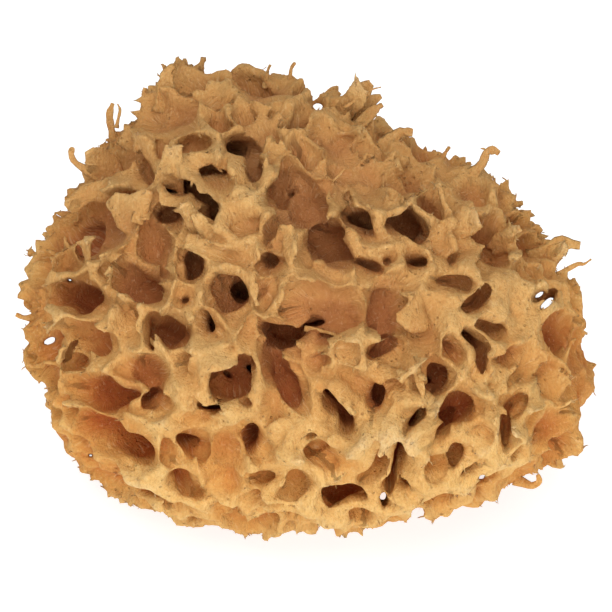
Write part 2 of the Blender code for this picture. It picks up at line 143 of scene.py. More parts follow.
# Cells seen on the face: across, up, half length, half width, turn, depth
FACE_CELLS = (
    (-13.8, 37, 4.9, 3.8, 20, 26), (-11.8, 32, 3, 1.6, 90, 14), (-29.5, 28.5, 4.4, 2.3, 15, 18),
    (-33, 21.5, 3.8, 2.4, 0, 16), (-35.2, 14.5, 5.2, 2.6, -68, 14), (-33.8, 8, 2.3, 1.0, 85, 10),
    (-26.2, 8.8, 3.1, 2.7, -60, 15), (-39.6, 3.2, 6.6, 4.2, -42, 16), (-15.8, 1.3, 5.2, 4.2, -50, 12),
    (-15, 3.8, 3.2, 2.0, -40, 28), (-7.5, 9.3, 1.8, 1.8, 0, 12), (-6.3, 16.3, 3.3, 2.1, 80, 8),
    (-22.5, -5.5, 2.7, 1.3, -75, 18), (-28.2, -0.5, 1.2, 1.0, 0, 7), (-32, -8.3, 5, 2.9, -12, 14),
    (-17.5, -19.3, 6, 4.2, 25, 10), (-13.5, -18, 1.2, 0.9, 0, 20), (-20, -19.3, 1.0, 0.8, 0, 18),
    (-22, -25.5, 3.1, 1.3, 15, 16), (-13, -13.8, 2.5, 0.7, -20, 8), (-11.8, -34.8, 3.1, 2.2, -75, 14),
    (-4.3, -9.5, 4.4, 3.8, 0, 22), (6, -2.5, 9, 4.6, -12, 8), (2.5, -7.5, 3.2, 1.2, 20, 24),
    (6.3, -9, 2.6, 1.2, -10, 10), (-5.0, -18.7, 6.8, 3.3, -75, 12), (8.5, -26, 3.4, 2.0, -35, 24),
    (11.8, -30, 3.1, 2.1, -50, 12), (19.5, -23.8, 3.6, 2.1, 80, 14), (21.5, -11.3, 2.9, 1.7, 30, 14),
    (22, -3, 6.2, 4.2, 60, 11), (24, 3, 3.4, 2.2, 10, 5), (14.3, 19.3, 5.2, 1.9, -22, 20),
    (27, 18.5, 5.6, 3.2, -35, 20), (24.3, 28.3, 3.1, 2.3, 80, 8), (25, 22.5, 4.5, 3, 0, 8),
    (-3, 26.8, 5.5, 4, -30, 16), (1.3, 22, 6.5, 5, -45, 20), (6.3, 16.3, 6, 5, -45, 22),
    (9.5, 13, 3.2, 2.4, 0, 18), (-0.5, 26, 1.3, 1, 0, 20), (11.3, 31.5, 1.9, 1.4, 0, 10),
    (10.5, 27.5, 0.8, 0.6, 0, 5), (16.8, 27, 0.9, 0.6, 0, 3), (18, 8.8, 3.2, 1.2, -20, 12),
    (22, 9.8, 1.1, 0.8, 0, 8), (28.3, 9.5, 1.6, 1.3, 0, 14), (38.3, 10.5, 1.4, 0.6, 75, 8),
    (39.3, 5.3, 4.5, 1.8, -5, 7), (46.3, 15.5, 5.5, 3.2, 35, 12), (48.8, 11.3, 4, 2.5, 0, 12),
    (52, 21.8, 5, 2, -60, 10), (57.5, 13.5, 4.2, 3.2, -10, 12), (42, 27.3, 4, 1.6, -50, 9),
    (28.5, 30.5, 4.5, 2.1, 80, 12), (31.8, 22.5, 3.6, 1.8, -50, 14), (44.8, 0.8, 3.9, 1.9, 35, 8),
    (47.8, -6, 3.3, 1.6, -50, 8), (43, -10.5, 3.6, 1.4, -50, 16), (44.8, -15, 3.2, 1, -80, 9),
    (33.5, -20, 4.4, 3.2, 75, 12), (31.8, -21.5, 1.4, 1, 0, 18), (37.3, -26.8, 5.8, 4, 35, 12),
    (35, -30.5, 3, 1.6, 40, 16), (39.5, -36.3, 4.2, 2, 80, 8), (28, -28.3, 3.6, 1.2, 60, 12),
    (24.8, -37.5, 9, 1.9, 80, 14), (19.5, -39.5, 5.5, 2, 65, 8), (8.7, -47.2, 5.2, 3.8, 0, 16),
    (11.3, -44.8, 1.2, 1.0, 0, 14), (22, -52.5, 3.2, 2.8, 0, 10), (29.5, -53.3, 2.1, 1.5, 0, 14),
    (20.8, -49, 1.5, 0.8, 75, 8), (31.3, -40, 2.2, 1.8, 0, 3.5), (51.3, -29.5, 5.0, 1.5, 85, 7),
    (53.3, -25, 2, 1.4, 0, 5), (45.3, -41.8, 3.2, 2, 75, 7), (62.8, -7, 5.8, 4.3, 70, 12),
    (61.5, 0, 3, 1.2, 35, 14), (65.3, 8.3, 2.2, 1.1, 70, 14), (68, 6.8, 1.9, 1, 80, 12),
    (61.3, -18, 4, 3.2, 20, 5), (70.5, -18.5, 5, 2.6, 80, 6), (62, -31.5, 6.3, 4.2, 25, 7),
    (51.3, -12, 2.6, 1, 0, 6), (37.5, -12.5, 2.3, 1.2, -70, 7), (-54, 1.4, 6.2, 3.4, -10, 18),
    (-59, 1.3, 5, 3, 0, 9), (-53.5, -0.5, 2.6, 2, 0, 14), (-52, -8.8, 6.8, 3, -22, 6),
    (-37.3, -17.5, 5.8, 3.1, -72, 9), (-36.5, -24, 3.4, 1.5, 8, 14), (-36.5, -9.5, 3.2, 1, 88, 12),
    (-49.3, -22.5, 7.6, 2.8, -12, 12), (-44.5, -34.5, 9.5, 4, -24, 14), (-28, -35.3, 2.6, 1.9, 0, 11),
    (-29.5, -43, 4.4, 2.3, -60, 9), (-56.8, -16.3, 2, 1.4, 0, 5), (-57.5, -11.8, 1.2, 0.7, 85, 6),
    (-62.5, -8.8, 3, 2.6, 0, 10), (-63.8, -3.8, 1.4, 0.8, 0, 6), (-46.5, 21.5, 8.2, 3.8, 50, 18),
    (-54.8, 25.8, 2.7, 1.8, 50, 6), (-55.5, 16.3, 3.4, 1.8, -50, 8), (-45, 15, 0.7, 0.7, 0, 7),
    (-44.5, 35, 6, 4.6, 20, 10), (-38.8, 32, 5, 1.3, -80, 12), (-34.5, 37.5, 2.6, 0.8, -80, 7),
    (-31, 44.5, 1.8, 1.2, 0, 14), (-32.5, 47.5, 7.2, 3.9, 8, 8), (-26, 38.5, 2.8, 2.4, 0, 9),
    (-21.8, 33.5, 3.6, 1.6, -10, 13), (-20.5, 21.8, 3.8, 2.5, 80, 16), (-19.8, 17, 2.4, 0.8, -25, 11),
    (-23.8, 27, 4.0, 2.6, -40, 16), (-7, 52.5, 7.5, 2.9, 4, 9), (4.5, 48.3, 1.4, 0.9, 0, 18),
    (6, 41.5, 3.4, 2.8, 70, 7), (11.3, 37.8, 4, 2.4, 0, 11), (-58.3, 10, 3.6, 1.6, 80, 6),
    (-22.8, -53.5, 3.6, 1.6, -22, 9), (-16.8, -50.8, 2.7, 1.3, -20, 6), (-8, -43.5, 3.4, 1.4, 0, 6),
    (-2.5, -45.5, 3, 4, 0, 4), (6.3, -14, 1.1, 0.8, 0, 4), (2.3, -32.8, 1, 0.8, 0, 3),
    (-13.5, -26, 1.3, 1, 0, 4), (-9, 2, 2.1, 1, 80, 6),
)

# Gaps that run right through the rim: across, up, half length, half width, turn
RIM_GAPS = (
    (65.2, 8.3, 2.3, 1.0, 62), (67.8, 6.8, 1.9, 0.8, 75), (61.8, -0.8, 2.4, 0.8, 42),
    (59.8, 1.3, 1.8, 0.5, 35), (-62.5, -10.2, 1.8, 0.8, 25), (-57.5, 5, 0.9, 0.5, -30),
    (-64.2, -21.2, 1.1, 0.5, -50), (20.8, -49, 1.2, 0.8, 60), (29.5, -53.2, 1.7, 1.3, 20),
    (45.5, -44.2, 1.4, 0.5, 30), (4.5, 48.3, 1.4, 0.9, 0), (-52.3, -38.8, 0.7, 0.5, 0),
)

# Torn flaps: root across and up, tip across and up, root width, tip width, lift of the tip
FLAPS = (
    (-42, 22, -37.5, 27.2, 9, 2.5, 3), (-50, 34, -53, 38.8, 7, 3, 2), (-53, 26, -43, 32.5, 5, 1.5, 3),
    (-32, 32, -30.5, 40.5, 7, 6, 3), (-24, 17, -29, 25, 7, 3, 3), (-21, 13.8, -27.5, 24.3, 8, 3, 3.5),
    (-28, 33.5, -21, 37.5, 4, 2, 3), (-4, 16, -1.8, 20.2, 5, 1.2, 2.5), (12, 48, 17, 54.5, 7, 4.5, 2),
    (24, 26, 28.2, 26.8, 4, 1.6, 2.5), (40, 18, 45.8, 20.2, 6, 4, 3), (51, 15, 57, 17.8, 4, 2, 3),
    (63, 11, 69.5, 13.4, 5.5, 3, 1), (28, -4, 22.5, -5.2, 6, 2, 2), (9, 0, 10.7, 3.3, 6, 1, 2),
    (-26, -17, -25.5, -13.5, 4, 3.5, 2.5),
)


def set_out(across, up, forward):
    """Point in millimetres from its place on the tilted face: across, up, and towards the viewer."""
    return np.array([
        across,
        up * math.sin(FACE_TILT) - forward * math.cos(FACE_TILT),
        MIDDLE_HEIGHT + up * math.cos(FACE_TILT) + forward * math.sin(FACE_TILT),
    ])


MIDDLE = set_out(0, 0, 0)
EYE = set_out(*VIEWING_POINT)


def rim_distance(angle):
    """Radius of the outline at each angle, as a smooth curve through the radii."""
    radii = np.array(OUTLINE_RADII, np.float32)
    place = angle / (2 * math.pi) * len(radii) % len(radii)
    index = np.floor(place).astype(int) % len(radii)
    part = place - np.floor(place)
    a, b, c, d = (radii[(index + k) % len(radii)] for k in (-1, 0, 1, 2))
    bend = 2 * a - 5 * b + 4 * c - d + part * (3 * (b - c) + d - a)
    return b + 0.5 * part * (c - a + part * bend)


def face_height(y, z):
    """How far up the tilted face a point is, from the middle."""
    return y * math.sin(FACE_TILT) + (z - MIDDLE_HEIGHT) * math.cos(FACE_TILT)


def body(x, y, z):
    """Distance outside the plain body, before it has any cells."""
    up = face_height(y, z)
    forward = (z - MIDDLE_HEIGHT) * math.sin(FACE_TILT) - y * math.cos(FACE_TILT)
    rim = rim_distance(np.arctan2(up, x))
    side = np.hypot(x, up) / rim
    front = (forward + BACK_LEAN * up) / HALF_THICKNESS
    near = np.sqrt(side**2 + front**2) + 1e-6
    slope = np.sqrt((side / rim) ** 2 + (front / HALF_THICKNESS) ** 2) + 1e-6
    return near * (near - 1) / slope


def unit(vector):
    return vector / np.linalg.norm(vector)


def outward(point):
    """Direction straight out of the body."""
    return unit(np.array([body(*(point + step)) - body(*(point - step)) for step in 0.5 * np.eye(3)]))


def on_face(across, up):
    """Point of the body that the viewer sees at this place, or the nearest to it beside the rim."""
    best, nearest = None, 1e9
    for forward in np.arange(75, -70, -0.5):
        scale = 1 - forward / VIEWING_POINT[2]
        point = set_out(
            VIEWING_POINT[0] + scale * (across - VIEWING_POINT[0]),
            VIEWING_POINT[1] + scale * (up - VIEWING_POINT[1]),
            forward,
        )
        distance = body(*point)
        if distance < nearest:
            best, nearest = point, distance
        if distance < 0:
            break
    return best


def waves(axes, length, seed):
    """Smooth random waves of about unit height over the grid."""
    random = np.random.default_rng(seed)
    weights = []
    for axis in axes:
        place = (axis - axis[0]) / length + 1
        index = np.floor(place).astype(int)
        part = place - index
        table = np.zeros((len(axis), index[-1] + 4), np.float32)
        shares = (
            (1 - part) ** 3 / 6,
            (3 * part**3 - 6 * part**2 + 4) / 6,
            (-3 * part**3 + 3 * part**2 + 3 * part + 1) / 6,
            part**3 / 6,
        )
        for offset, share in enumerate(shares):
            table[np.arange(len(axis)), index - 1 + offset] = share
        weights.append(table)
    knots = random.standard_normal([table.shape[1] for table in weights]).astype(np.float32)
    return 3.2 * np.einsum("ai,bj,ck,ijk->abc", *weights, knots, optimize=True)


def ease(value, low, high):
    """0 below low and 1 above high, with a smooth change between."""
    part = np.clip((value - low) / (high - low), 0, 1)
    return part * part * (3 - 2 * part)


def join(a, b, blend):
    """The larger of two distances, rounded where they meet."""
    share = np.clip(0.5 + 0.5 * (a - b) / blend, 0, 1)
    return b + (a - b) * share + blend * share * (1 - share)


def cell_distance(place, mouth, frame, size, depth):
    """Distance outside one cell, and how far each place is down its axis, along it and over it."""
    down, along, over = np.moveaxis((place - mouth) @ frame, -1, 0)
    width = MOUTH_WIDTH + BELLY_WIDTH * np.sin(math.pi * np.clip(down / depth, 0, 1))
    end = max(size[1], 0.3 * depth)
    past = np.clip(down - (depth - end), 0, 99) / end
    wide = along / (size[0] * width)
    high = over / (size[1] * width)
    near = np.sqrt(wide**2 + high**2 + past**2) + 1e-6
    slope = np.sqrt((wide / size[0]) ** 2 + (high / size[1]) ** 2 + (past / end) ** 2) + 1e-6
    return np.where(down < -MOUTH_REACH, FAR, near * (near - 1) / slope * width), down, along, over


class Growth:
    """Grid of distances in which the body grows and its cells are hollowed."""

    def __init__(self, step):
        self.step = step
        self.axes = [
            np.arange(low, high, step).astype(np.float32) for low, high in zip(LOW_CORNER, HIGH_CORNER)
        ]
        self.place = np.meshgrid(*self.axes, indexing="ij", sparse=True)
        self.bent = []
        for k, bent in enumerate(self.place):
            for height, length, seed in BENDS:
                bent = bent + height * waves(self.axes, length, seed + k)
            self.bent.append(bent)
        shape = self.bent[0].shape
        self.nearest = np.full(shape, FAR, np.float32)
        self.second = self.nearest.copy()
        self.third = self.nearest.copy()
        self.flaps = self.nearest.copy()
        self.cells = []

    def bend(self, point):
        """Where a point lies in the bent coordinates."""
        steps = [round((value - low) / self.step) for value, low in zip(point, LOW_CORNER)]
        index = tuple(int(np.clip(step, 0, len(axis) - 1)) for step, axis in zip(steps, self.axes))
        return np.array([axis[index] for axis in self.bent], np.float32)

    def window(self, points, margin):
        """The part of the grid around these points, and the bent coordinates in it."""
        low = np.min(points, axis=0) - margin
        high = np.max(points, axis=0) + margin
        part = []
        for k in range(3):
            first = max(0, int((low[k] - LOW_CORNER[k]) / self.step))
            last = min(len(self.axes[k]), int((high[k] - LOW_CORNER[k]) / self.step) + 2)
            part.append(slice(first, max(first, last)))
        part = tuple(part)
        return part, np.stack([axis[part] for axis in self.bent], axis=-1)

    def hollow(self, mouth, inward, cross, size, depth):
        """Hollows a round-ended cell in from its mouth, wider inside than at the mouth."""
        inward = unit(inward)
        side = unit(cross - inward * cross.dot(inward))
        other = np.cross(inward, side)
        ends = (mouth - inward * MOUTH_REACH, mouth + inward * depth)
        part, place = self.window(ends, size[0] + WINDOW_MARGIN)
        if not place.size:
            return
        bent_mouth = self.bend(mouth + inward * SEEN_DEPTH) - inward * SEEN_DEPTH
        cell = (bent_mouth, np.array([inward, side, other], np.float32).T, size, depth)
        self.cells.append(cell)
        distance = cell_distance(place, *cell)[0]
        nearest = self.nearest[part]
        second = self.second[part]
        self.third[part] = np.minimum(self.third[part], np.maximum(second, distance))
        self.second[part] = np.minimum(second, np.maximum(nearest, distance))
        self.nearest[part] = np.minimum(nearest, distance)

    def tear(self, root, tip, sight, widths, curl):
        """Adds a thin flap that stands from its root to its tip."""
        length = np.linalg.norm(tip - root)
        along = (tip - root) / length
        across = unit(np.cross(along, sight))
        part, place = self.window((root - along * FLAP_ROOT, tip), max(widths) + 3)
        frame = np.array([along, across, np.cross(along, across)], np.float32).T
        out, side, over = np.moveaxis((place - self.bend(root)) @ frame, -1, 0)
        share = np.clip(out / length, 0, 1)
        over = over + 0.06 * side**2 / 3 - curl * share**2
        half = 0.5 * (widths[0] + (widths[1] - widths[0]) * share)
        past_side = np.clip(np.abs(side) - half + FLAP_THICKNESS, 0, 99)
        past_end = np.clip(out - length + FLAP_THICKNESS, 0, 99) + np.clip(-out - FLAP_ROOT, 0, 99)
        distance = np.sqrt(past_side**2 + past_end**2 + over**2) - FLAP_THICKNESS * (1.2 - 0.5 * share)
        self.flaps[part] = np.minimum(self.flaps[part], distance)

    def hollow_face(self):
        """Hollows the cells of the face, each undercutting the edge above it, and returns their places."""
        random = np.random.default_rng(8)
        spots = []
        for across, up, long, short, turn, depth in FACE_CELLS:
            mouth = on_face(across, up)
            sight = unit(mouth - EYE)
            angle = math.radians(turn)
            cross = set_out(math.cos(angle), math.sin(angle), 0) - MIDDLE
            above = set_out(0, 1, 0) - MIDDLE
            normal = outward(mouth)
            facing = -normal.dot(sight)
            grazing = (1 - facing) ** 2
            inward = sight - (0.08 + 0.6 * grazing) * normal + UNDERCUT * above
            inward = inward + 0.08 * random.standard_normal(3)
            spots.append((*mouth, 0.8 * long))
            mouth = mouth + (sight - unit(inward)) * (SEEN_DEPTH / max(0.35, facing))
            self.hollow(mouth, inward, cross, (0.9 * long, 0.9 * short), 1.05 * depth)
        return np.array(spots)

    def see_through(self):
        """Distance outside the gaps at the rim, each straight through along the line of sight."""
        total = np.full(self.nearest.shape, FAR, np.float32)
        for across, up, long, short, turn in RIM_GAPS:
            mouth = on_face(across, up)
            sight = unit(mouth - EYE)
            angle = math.radians(turn)
            side = set_out(math.cos(angle), math.sin(angle), 0) - MIDDLE
            side = unit(side - sight * side.dot(sight))
            part, _ = self.window((mouth - sight * 60, mouth + sight * 60), 4)
            frame = np.array([sight, side, np.cross(sight, side)], np.float32).T
            straight = np.meshgrid(*(axis[rows] for axis, rows in zip(self.axes, part)), indexing="ij")
            place = np.stack(straight, axis=-1) - mouth.astype(np.float32)
            _, along, over = np.moveaxis(place @ frame, -1, 0)
            total[part] = np.minimum(total[part], (np.hypot(along / long, over / short) - 1) * short)
        return total

    def hollow_rest(self, spots):
        """Hollows cells of mixed sizes wherever the face cells leave room, on every side."""
        random = np.random.default_rng(5)
        for attempt in range(TRIES):
            direction = unit(random.standard_normal(3))
            size = random.uniform(2.4, 6.2) * (1 if attempt < LARGE_TRIES else 0.55)
            lean, cross = random.standard_normal((2, 3))
            long, short, depth = random.uniform((1.0, 0.55, 1.5), (1.6, 0.9, 3.2)) * size
            reach = 60.0
            for _ in range(12):
                reach -= 0.9 * float(body(*(MIDDLE + direction * reach)))
            mouth = MIDDLE + direction * reach
            gap = np.linalg.norm(spots[:, :3] - mouth, axis=1) - spots[:, 3] - size
            normal = outward(mouth)
            in_view = -normal.dot(unit(mouth - EYE)) > 0.3
            in_middle = in_view and -44 < face_height(mouth[1], mouth[2]) < 36
            limit = LIMIT_SEEN if in_view else LIMIT_UNSEEN
            room = 1.2
            if in_middle:
                limit, room, depth = LIMIT_MIDDLE, 0.7, 0.6 * depth
            if mouth[2] < -1 or gap.min() < room or size > limit:
                continue
            spots = np.vstack([spots, (*mouth, size)])
            self.hollow(mouth, 0.35 * lean - normal, cross, (long, short), depth)

    def hang_flaps(self):
        """Hangs each torn flap from its root on the face."""
        for root_across, root_up, tip_across, tip_up, root_width, tip_width, lift in FLAPS:
            root = on_face(root_across, root_up)
            sight = unit(root - EYE)
            aim = unit(set_out(tip_across, tip_up, 0) - EYE)
            tip = EYE + aim * ((root - EYE).dot(sight) / aim.dot(sight) - lift)
            self.tear(root + sight, tip, sight, (root_width, tip_width), 0.5 * lift)

    def read(self, values, points):
        """Values of the grid at these points."""
        place = (points - LOW_CORNER) / self.step
        corner = np.floor(place).astype(int)
        part = place - corner
        total = 0
        for offset in np.ndindex(2, 2, 2):
            share = np.prod(np.where(offset, part, 1 - part), axis=1)
            total = total + share * values[tuple((corner + offset).T)]
        return total

    def follow_cells(self, points):
        """For each point: its place round and down its cell, and the cell's distance, number and axis."""
        places = np.stack([self.read(axis, points) for axis in self.bent], axis=-1).astype(np.float32)
        nearest = np.full(len(points), FAR, np.float32)
        strands = np.zeros((len(points), 3), np.float32)
        off_axis = np.zeros(len(points), np.float32)
        owner = np.full(len(points), -1)
        for number, cell in enumerate(self.cells):
            mouth, _, size, depth = cell
            close = np.nonzero((np.abs(places - mouth) < size[0] + max(depth, MOUTH_REACH)).all(axis=1))[0]
            distance, down, along, over = cell_distance(places[close], *cell)
            closer = distance < nearest[close]
            chosen = close[closer]
            nearest[chosen] = distance[closer]
            owner[chosen] = number
            off_axis[chosen] = np.hypot(along / size[0], over / size[1])[closer]
            round_it = np.arctan2(over, along)[closer] * 0.5 * (size[0] + size[1])
            strands[chosen] = np.stack([round_it, down[closer], np.full(len(chosen), 7.3 * number)], axis=-1)
        return strands, nearest, owner, off_axis

    def finish(self):
        """The whole sponge as distances: below 0 inside it."""
        x, y, z = self.place
        axes = self.axes
        up = face_height(y, z)
        low = ease(-up, 5, 40)
        to_rim = np.hypot(x, up) / rim_distance(np.arctan2(up, x))
        calm = 1 - ease(to_rim, 0.8, 0.95) * (0.78 + 0.15 * ease(-up, 5, 25))

        skin = body(x, y, z).astype(np.float32) + BACK_INSET * ease(y, 20, 60)
        stretched = (FOLD_STRETCH * axes[0], axes[1], axes[2])
        fold = np.exp(-np.abs(waves(stretched, FOLD_LENGTH, 61)) / FOLD_SHARPNESS)
        skin += FOLD_HEIGHT * (0.3 - fold) * (0.4 + 0.6 * low) * ease(self.nearest, 0.3, 3.0) * calm
        lumps = (LUMP_HEIGHT + LOWER_LUMP_HEIGHT * low) * waves(axes, 9, 2)
        skin -= SWELL_HEIGHT * waves(axes, 22, 1) + lumps + DIMPLE_HEIGHT * waves(axes, 5, 4)

        span = WALL_WIDTH * (1 + 0.35 * low + 0.45 * waves(axes, 12, 21))
        free = ease(self.nearest, -0.2, 0.8) * (1 - ease(self.nearest, 5, 8))
        wall = np.exp(-(((self.second - self.nearest) / span) ** 2)) * free
        peak = np.exp(-(((self.third - self.nearest) / (PEAK_SPREAD * span)) ** 2)) * free
        plateau = ease(self.nearest, 0.4, PLATEAU_WIDTH + 1.0 * low)
        bowl = (1 - np.maximum(np.maximum(RIDGE_SHARE * wall, peak), plateau)) * BOWL_DEPTH * (1 - 0.2 * low)
        bowl = bowl - PEAK_HEIGHT * peak * (1 + 0.5 * waves(axes, 9, 51)) * calm

        teeth = np.clip(0.9 * waves(axes, 5.5, 11) + 0.6 * waves(axes, 2.4, 12) + 0.2, -0.5, 2.2)
        wild = np.clip(0.6 * waves(axes, 26, 31) + 0.7, 0.15, 1.4) * (1 - 0.65 * ease(-up, 22, 46))
        wild = wild * (1 - 0.6 * ease(up, 30, 46)) * calm
        edge = np.maximum(wall, 0.5 * np.exp(-np.abs(self.nearest - 1) / 1.5))
        felt = (FELT_HEIGHT + UPPER_FELT_HEIGHT * ease(up, -10, 20)) * waves(axes, 3.0, 41)
        felt = felt + FINE_FELT_HEIGHT * waves(axes, 1.5, 42)

        grown = skin + felt + bowl - CREST_HEIGHT * edge * teeth * wild
        solid = -join(-join(grown, -self.nearest, EDGE_ROUNDING), -self.flaps, FLAP_ROUNDING)
        foot = np.maximum(np.sqrt(x**2 + y**2) - FOOT_RADIUS, z - FOOT_HEIGHT)
        solid = np.minimum(solid, np.maximum(foot, skin + 1))
        return np.maximum(solid, -self.see_through())


def main_shell(points, faces):
    """Keeps the largest connected surface: no crumbs, and no hollow closed off inside."""
    label = np.arange(len(points))
    while True:
        lowest = label[faces].min(axis=1)
        before = label.copy()
        for k in range(3):
            np.minimum.at(label, faces[:, k], lowest)
        label = label[label]
        if (label == before).all():
            break
    owner = label[faces[:, 0]]
    faces = faces[owner == np.bincount(owner).argmax()]
    used, index = np.unique(faces, return_inverse=True)
    return points[used], index.reshape(-1, 3)


def plain_mesh(name, points, faces):
    """Mesh of the main shell of these triangles."""
    points, faces = main_shell(points, faces)
    mesh = bpy.data.meshes.new(name)
    mesh.from_pydata(points.tolist(), [], faces.tolist())
    return mesh


def skin_mesh(distances, step):
    """Mesh in metres along the surface where the distance is 0."""
    grid = openvdb.FloatGrid(3)
    grid.copyFromArray(np.clip(distances, -3, 3))
    grid.transform = openvdb.createLinearTransform(voxelSize=step)
    points, triangles, quads = grid.convertToPolygons()
    faces = np.vstack([triangles[:, ::-1], quads[:, [3, 2, 1]], quads[:, [3, 1, 0]]])
    return plain_mesh("rough_sponge", (points + LOW_CORNER) / 1000, faces)


def cut_flat(rough):
    """Cuts away everything below the ground and closes the cut with one flat face."""
    shape = bmesh.new()
    shape.from_mesh(rough)
    bmesh.ops.bisect_plane(
        shape,
        geom=shape.verts[:] + shape.edges[:] + shape.faces[:],
        plane_co=(0, 0, 0),
        plane_no=(0, 0, -1),
        clear_outer=True,
    )
    rim = [edge for edge in shape.edges if edge.is_boundary]
    bmesh.ops.triangle_fill(shape, edges=rim, normal=(0, 0, -1), use_beauty=True)
    bmesh.ops.triangulate(shape, faces=shape.faces[:])
    bmesh.ops.recalc_face_normals(shape, faces=shape.faces[:])
    shape.verts.index_update()
    points = np.array([vert.co for vert in shape.verts])
    points[np.abs(points[:, 2]) < 1e-7, 2] = 0
    faces = np.array([[vert.index for vert in face.verts] for face in shape.faces])
    shape.free()
    return plain_mesh("sponge", points, faces)


class Wire:
    """One output of a material's node, on which sums are written."""

    def __init__(self, tree, socket=None):
        self.tree = tree
        self.socket = socket

    def add(self, kind, settings=None, sockets=None, output=0):
        """A new node: its settings come first, then the values or wires of its sockets."""
        node = self.tree.nodes.new(kind)
        for name, value in (settings or {}).items():
            if name == "stops":
                for index, (place, colour) in enumerate(value):
                    stops = node.color_ramp.elements
                    stop = stops[index] if index < 2 else stops.new(place)
                    stop.position = place
                    stop.color = (*colour, 1)
            else:
                setattr(node, name, value)
        for name, value in (sockets or {}).items():
            if isinstance(value, Wire):
                self.tree.links.new(value.socket, node.inputs[name])
            else:
                node.inputs[name].default_value = value
        return Wire(self.tree, node.outputs[output])

    def work(self, operation, first, second):
        """One step of sums on two values or wires."""
        return self.add("ShaderNodeMath", {"operation": operation}, {0: first, 1: second})

    def __add__(self, other):
        return self.work("ADD", self, other)

    def __radd__(self, other):
        return self.work("ADD", other, self)

    def __sub__(self, other):
        return self.work("SUBTRACT", self, other)

    def __rsub__(self, other):
        return self.work("SUBTRACT", other, self)

    def __mul__(self, other):
        return self.work("MULTIPLY", self, other)

    def __rmul__(self, other):
        return self.work("MULTIPLY", other, self)

    def between(self, low, high):
        """0 below low and 1 above high, with a smooth change between."""
        sockets = {"Value": self, "From Min": low, "From Max": high}
        return self.add("ShaderNodeMapRange", {"interpolation_type": "SMOOTHSTEP"}, sockets)

    def blend(self, other, share):
        """This colour turned towards another by a share."""
        return self.add("ShaderNodeMix", {"data_type": "RGBA"}, {0: share, 6: self, 7: other}, 2)

    def cloud(self, place, size, detail, roughness=0.55):
        """Noise about 0.5 whose lumps are this many millimetres."""
        sockets = {"Vector": place, "Scale": 1 / size, "Detail": detail, "Roughness": roughness}
        return self.add("ShaderNodeTexNoise", None, sockets)


def new_material(name):
    """A new material, its shader, and a wire from which its nodes are added."""
    material = bpy.data.materials.new(name)
    material.use_nodes = True
    tree = material.node_tree
    return material, tree.nodes["Principled BSDF"], Wire(tree)


# The dry fibre: a mottled tan of its own, with painted light and shade on it: paler on the raised edges and
# crests, browner the deeper it lies under the plain body and inside the cells, duller over the upper part,
# and dark in the tiny pores
PALE_EDGE = (0.76, 0.53, 0.25)
GOLD = (0.73, 0.445, 0.155)
OCHRE = (0.63, 0.30, 0.078)
BROWN = (0.50, 0.147, 0.031)
DARK_BROWN = (0.38, 0.070, 0.015)
PAINTED_TOP_SHADE = (0.56, 0.315, 0.12, 1)
BETWEEN_STRANDS = (0.40, 0.17, 0.045, 1)
STRAND = (0.88, 0.64, 0.34, 1)
PORE_SHADE = (0.36, 0.15, 0.04, 1)
STRAND_WIDTH = 0.42
FELT_LUMP = 0.6
PORE_SPACING = 2.0
RELIEF_DEPTH = 0.00095

fibre, shader, wire = new_material("dry_sponge_fibre")
place = wire.add("ShaderNodeTexCoord", None, None, 3)
place = wire.add("ShaderNodeVectorMath", {"operation": "SCALE"}, {0: place, 3: 1000.0})
depth = wire.add("ShaderNodeAttribute", {"attribute_name": "depth"}, None, 2)
open_wall = wire.add("ShaderNodeAttribute", {"attribute_name": "open_wall"}, None, 2)
strands = wire.add("ShaderNodeAttribute", {"attribute_name": "strands"}, None, 1)
height = wire.add("ShaderNodeSeparateXYZ", None, {0: place}, 2)

mottle = wire.cloud(place, 9.0, 4.0)
speckle = wire.cloud(place, 1.1, 4.0, 0.65)
along = wire.add("ShaderNodeVectorMath", {"operation": "MULTIPLY"}, {0: strands, 1: (1.0, 0.13, 1.0)})
in_strands = wire.add("ShaderNodeAttribute", {"attribute_name": "in_strands"}, None, 2)
combed = wire.cloud(along, STRAND_WIDTH, 3.0, 0.6)
hanging = wire.add("ShaderNodeVectorMath", {"operation": "MULTIPLY"}, {0: place, 1: (1.0, 1.0, 0.35)})
felted = wire.cloud(hanging, FELT_LUMP, 4.0, 0.65)
streaks = felted + (combed - felted) * in_strands
pore_field = wire.add("ShaderNodeTexVoronoi", None, {"Vector": place, "Scale": 1 / PORE_SPACING})
pores = (1 - pore_field.between(0.08, 0.2)) * mottle.between(0.48, 0.62)
in_cell = 1 - open_wall.between(0.1, 0.9)

# Painted light and shade by depth: the colour darkens the deeper the fibre lies under the plain body and
# inside a cell, and lightens where it stands out over the body; the mottle and speckle add the fibre's own
# uneven tone
depth_shade_and_tone = 0.63 + depth * 0.044 + (mottle - 0.5) * 0.7 + (speckle - 0.5) * 0.35 - in_cell * 0.10
tan = wire.add("ShaderNodeValToRGB", {"stops": [
    (0.0, DARK_BROWN), (1.0, PALE_EDGE), (0.22, BROWN), (0.52, OCHRE), (0.80, GOLD),
]}, {0: depth_shade_and_tone})
# Painted shade: the upper part is turned duller and darker, standing in for the brighter light the table
# throws on the lower part
tan = tan.blend(PAINTED_TOP_SHADE, height.between(35, 90) * 0.6)
tan = tan.blend(BETWEEN_STRANDS, streaks.between(0.47, 0.68) * 0.38)
tan = tan.blend(STRAND, (1 - streaks.between(0.30, 0.47)) * 0.25)
